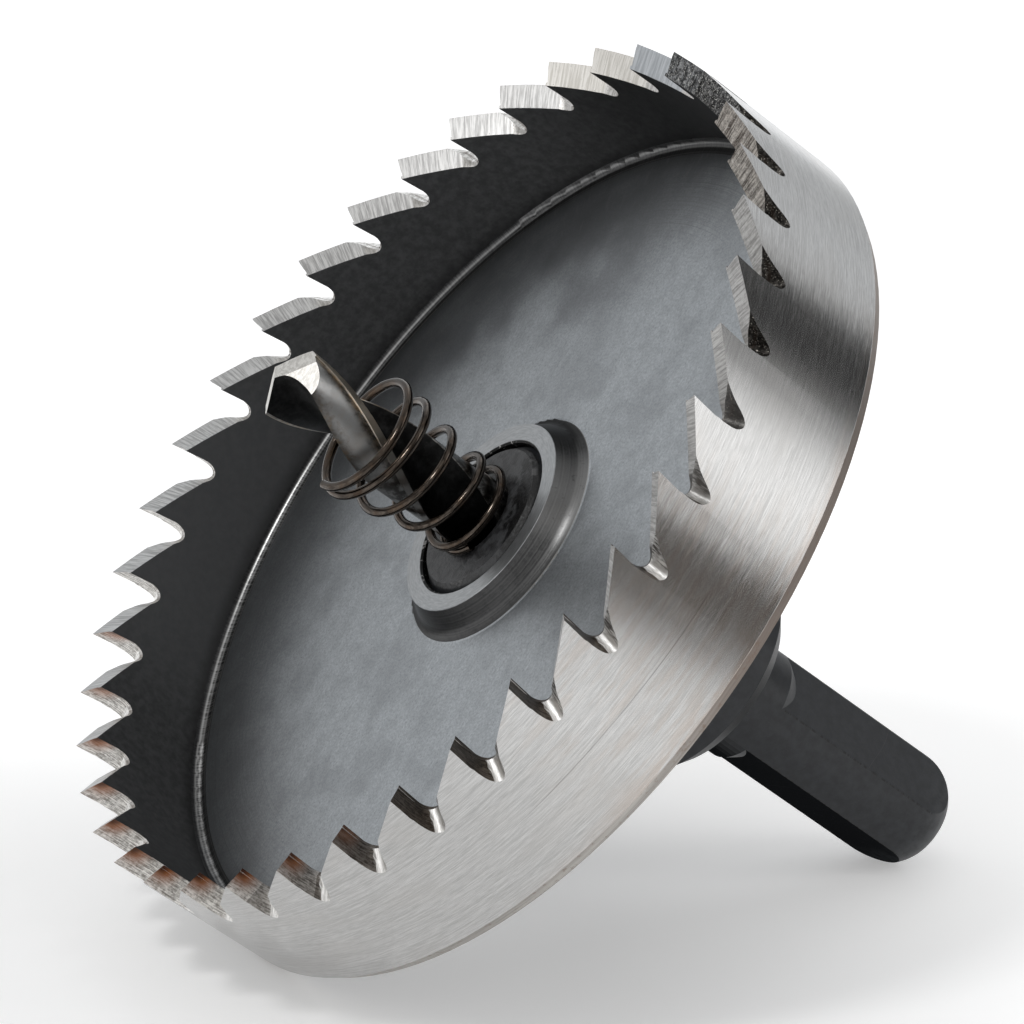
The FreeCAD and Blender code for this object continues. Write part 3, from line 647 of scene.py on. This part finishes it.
# ------------------------------------------------------------------ drill
def drill_material():
    mt, k, bsdf, P, R, A, Z, N = material("drill_steel")
    nx, ny, nz = k.sep(N)
    n1 = k.noise(P, 1.2, 5.0, 0.65)
    n2 = k.noise(P, 5.0, 4.0, 0.7)
    m_point = k.mul(k.step(nz, 0.50, 0.62), k.step(Z, 87.5, 88.5))
    m_land = k.mul(k.step(R, 3.66, 3.74), k.sub(1.0, m_point))
    m_marg = k.mul(k.step(R, 3.86, 3.90), k.sub(1.0, m_point))
    # ground faces of the point
    gl = k.noise(k.comb(k.mul(k.add(k.mul(nx, 3.0), Z), 5.0), k.mul(A, 3.0), 0.0), 1.0, 3.0, 0.7)
    point = k.mix(k.step(gl, 0.35, 0.65), (0.56, 0.545, 0.515), (0.76, 0.745, 0.715))
    # land: bright satin near the tip with golden edges, darker further down
    low = k.step(Z, 74.0, 83.5)
    satin = k.noise(k.comb(k.mul(Z, 1.2), k.mul(A, 9.0), R), 1.0, 4.0, 0.7)
    land = k.mix(k.step(satin, 0.34, 0.66), (0.40, 0.39, 0.375), (0.78, 0.77, 0.75))
    # how far behind the leading edge, 0 to 1 over half a turn
    turn = k.math("DIVIDE", k.sub(k.mul(k.sub(Z, 90.800), 2 * math.pi / 52.0), k.add(A, math.radians(12.0))), math.pi)
    back = k.math("FRACT", k.add(turn, 8.0))
    off = k.add(back, k.mul(k.sub(n1, 0.5), 0.10))
    # painted highlight: a bright band along the land behind its leading edge, weaker further down
    painted_land_highlight = k.mul(k.mul(k.step(off, 0.10, 0.18), k.step(off, 0.29, 0.42, 1.0, 0.12)), k.step(Z, 76.0, 84.0, 0.50, 1.0))
    land = k.mix(painted_land_highlight, k.mix(k.step(satin, 0.34, 0.66), (0.11, 0.093, 0.077), (0.31, 0.287, 0.258)), (0.98, 0.97, 0.95))
    gold = k.mul(k.mul(k.step(n1, 0.46, 0.60), k.sub(1.0, k.mul(painted_land_highlight, 0.8))), k.band(Z, 79.0, 89.5, 2.0))
    land = k.mix(k.mul(gold, 0.42), land, (0.50, 0.34, 0.19))
    land = k.mix(k.sub(1.0, low), land, k.mix(k.step(n1, 0.42, 0.62), (0.06, 0.057, 0.053), (0.25, 0.245, 0.235)))
    margin = k.mix(low, (0.20, 0.19, 0.18), (0.46, 0.41, 0.34))
    # flutes: black
    flute = k.mix(k.step(n1, 0.35, 0.70), (0.012, 0.012, 0.012), (0.026, 0.026, 0.026))
    flute = k.mix(k.mul(k.step(n2, 0.64, 0.72), 0.5), flute, (0.09, 0.085, 0.08))
    col = k.mix(m_land, flute, land)
    col = k.mix(m_marg, col, margin)
    col = k.mix(m_point, col, point)
    k.put(bsdf.inputs["Base Color"], col)
    rough = k.mixf(m_land, 0.42, 0.31)
    rough = k.mixf(m_point, rough, 0.52)
    k.put(bsdf.inputs["Roughness"], k.add(rough, k.mul(k.sub(n2, 0.5), 0.14)))
    bsdf.inputs["Metallic"].default_value = 1.0
    hgt = k.mixf(m_point, k.mul(n2, 1.2), k.mul(gl, 0.8))
    k.put(bsdf.inputs["Normal"], k.bump(hgt, 0.30, 0.00002))
    return mt


# ------------------------------------------------------------------ spring
def spring_material():
    mt, k, bsdf, P, R, A, Z, N = material("spring_steel")
    cs = k.math("COSINE", A)
    sn = k.math("SINE", A)
    n1 = k.noise(P, 0.8, 4.0, 0.6)
    draw = k.noise(k.comb(k.mul(cs, 3.0), k.mul(sn, 3.0), k.mul(k.add(R, Z), 9.0)), 1.0, 3.0, 0.7)
    col = k.mix(k.step(draw, 0.34, 0.66), (0.036, 0.029, 0.024), (0.100, 0.084, 0.071))
    col = k.mix(k.mul(k.step(n1, 0.44, 0.66), 0.50), col, (0.085, 0.055, 0.036))
    col = k.mix(k.mul(k.step(k.noise(P, 3.5, 4.0, 0.7), 0.58, 0.68), 0.6), col, (0.035, 0.028, 0.023))
    k.put(bsdf.inputs["Base Color"], col)
    k.put(bsdf.inputs["Roughness"], k.lin(draw, 0.3, 0.7, 0.10, 0.20))
    bsdf.inputs["Metallic"].default_value = 1.0
    k.put(bsdf.inputs["Normal"], k.bump(draw, 0.25, 0.00002))
    return mt


def screw_material():
    mt, k, bsdf, P, R, A, Z, N = material("screw_steel")
    n1 = k.noise(P, 2.0, 5.0, 0.65)
    col = k.mix(k.step(n1, 0.35, 0.70), (0.014, 0.014, 0.015), (0.040, 0.040, 0.042))
    k.put(bsdf.inputs["Base Color"], col)
    k.put(bsdf.inputs["Roughness"], k.lin(n1, 0.3, 0.7, 0.34, 0.48))
    bsdf.inputs["Metallic"].default_value = 0.0
    k.put(bsdf.inputs["Normal"], k.bump(n1, 0.2, 0.00002))
    return mt


def assign(node, mt):
    o = nodes[node]
    o.data.materials.clear()
    o.data.materials.append(mt)


def region(c, n):
    """which finish a face of the cup has, from its middle and normal in the tool frame"""
    r = math.hypot(c[0], c[1])
    out = (n[0] * c[0] + n[1] * c[1]) / max(r, 1e-9)
    if n[2] < -0.9 and c[2] < 57.3:
        return 5
    if r < 13.6 and (c[2] > 61.93 or r < 9.3):
        return 3
    if r > 49.2 and c[2] < 58.45:
        return 0
    if r > 49.7 and out > 0.985:
        return 0
    if 47.2 < r < 47.7 and out < -0.9985 and c[2] > 62.3:
        return 1
    if c[2] > 66.0:
        return 4
    return 2


cup = nodes["saw_cup"]
cup.data.materials.clear()
for make in (outside_material, inside_material, floor_material, boss_material, teeth_material, back_material):
    cup.data.materials.append(make())
INV = ROT.transposed()
for poly in cup.data.polygons:
    poly.material_index = region(INV @ (Vector(poly.center) * 1000.0 - OFFSET), INV @ Vector(poly.normal))
assign("arbor", oxide_material())
assign("pilot_drill", drill_material())
assign("ejector_spring", spring_material())
assign("set_screw", screw_material())

# ------------------------------------------------------------------ light
world = bpy.data.worlds.new("studio")
world.use_nodes = True
bpy.context.scene.world = world
wt = world.node_tree
wt.nodes.clear()
w = NT(wt)
geo = w.new("ShaderNodeTexCoord")
dvec = geo.outputs["Generated"]


wd = w.vmath("NORMALIZE", dvec)
wdx, wdy, wdz = w.sep(wd)
pos = w.add(w.math("DIVIDE", w.math("ARCTAN2", wdy, wdx), 2 * math.pi), 0.5)


def g(v, warm=0.0):
    return (v * (1 + warm), v, v * (1 - warm))


def at(az):
    return (az + 180.0) / 360.0


# a ring of soft boxes: +Y is the viewer's side, -X the right of the picture
sky = w.ramp(pos, [
    (at(-180), g(0.01)), (at(-178), g(0.05)), (at(-172), g(0.70)), (at(-164), g(0.76, -0.02)),
    (at(-155), g(0.74, -0.02)), (at(-148), g(0.66, -0.02)), (at(-135), g(0.60, -0.02)), (at(-129), g(0.75, -0.02)),
    (at(-125), g(1.40, -0.02)), (at(-112), g(1.30, -0.02)), (at(-100), g(0.68, -0.03)), (at(-90), g(0.63, -0.03)),
    (at(-80), g(0.64, -0.02)), (at(-50), g(0.74)), (at(-20), g(0.76)), (at(30), g(0.76)), (at(70), g(0.55)),
    (at(96), g(0.28, 0.05)), (at(110), g(0.12, 0.10)), (at(117), g(0.02, 0.10)), (at(121), g(0.50)),
    (at(126), g(1.70)), (at(132), g(1.90)), (at(140), g(1.75)), (at(149), g(1.60)), (at(153), g(0.80)),
    (at(158), g(0.04)), (at(165), g(0.01)), (at(176), g(0.01)), (at(180), g(0.01))], "EASE")
over = w.step(wdz, math.sin(math.radians(50)), math.sin(math.radians(75)))
sky = w.mix(over, sky, g(0.55))
lp = w.new("ShaderNodeLightPath")
sky = w.mix(lp.outputs["Is Camera Ray"], sky, g(1.0))
bg = w.new("ShaderNodeBackground")
w.put(bg.inputs["Color"], sky)
bg.inputs["Strength"].default_value = 1.0
outw = w.new("ShaderNodeOutputWorld")
wt.links.new(bg.outputs[0], outw.inputs[0])

scene = bpy.context.scene
scene.view_settings.view_transform = "Standard"
scene.view_settings.look = "None"
scene.view_settings.exposure = 0.0
scene.view_settings.gamma = 1.0


def card(name, corners, color):
    """a studio card that only shows in reflections"""
    me = bpy.data.meshes.new(name)
    me.from_pydata(corners, [], [(0, 1, 2, 3)])
    o = bpy.data.objects.new(name, me)
    scene.collection.objects.link(o)
    mt = bpy.data.materials.new(name)
    mt.use_nodes = True
    bb = mt.node_tree.nodes["Principled BSDF"]
    bb.inputs["Base Color"].default_value = (0, 0, 0, 1)
    bb.inputs["Roughness"].default_value = 1.0
    bb.inputs["Specular IOR Level"].default_value = 0.0
    bb.inputs["Emission Color"].default_value = (*color, 1)
    bb.inputs["Emission Strength"].default_value = 1.0
    me.materials.append(mt)
    o.visible_camera = False
    o.visible_diffuse = False
    o.visible_shadow = False
    o.visible_transmission = False
    return o


# the table beyond the white sheet
away = Vector((-0.463, 0.886, 0.0))
side = Vector((away.y, -away.x, 0.0))
near, far = 0.18, 4.0
card("table", [tuple(away * near - side * 4 + Vector((0, 0, 0.0004))),
               tuple(away * near + side * 4 + Vector((0, 0, 0.0004))),
               tuple(away * far + side * 4 + Vector((0, 0, 0.0004))),
               tuple(away * far - side * 4 + Vector((0, 0, 0.0004)))], (0.07, 0.055, 0.045))


def area(name, loc, target, size, size_y, power, color=(1, 1, 1)):
    ld = bpy.data.lights.new(name, "AREA")
    ld.shape = "RECTANGLE"
    ld.size = size
    ld.size_y = size_y
    ld.energy = power
    ld.color = color
    o = bpy.data.objects.new(name, ld)
    bpy.context.scene.collection.objects.link(o)
    o.location = loc
    o.rotation_mode = "QUATERNION"
    o.rotation_quaternion = (Vector(loc) - Vector(target)).to_track_quat("Z", "Y")
    return o


area("key", (0.60, 0.35, 1.00), (0, 0, 0.04), 0.22, 0.22, 3.0)
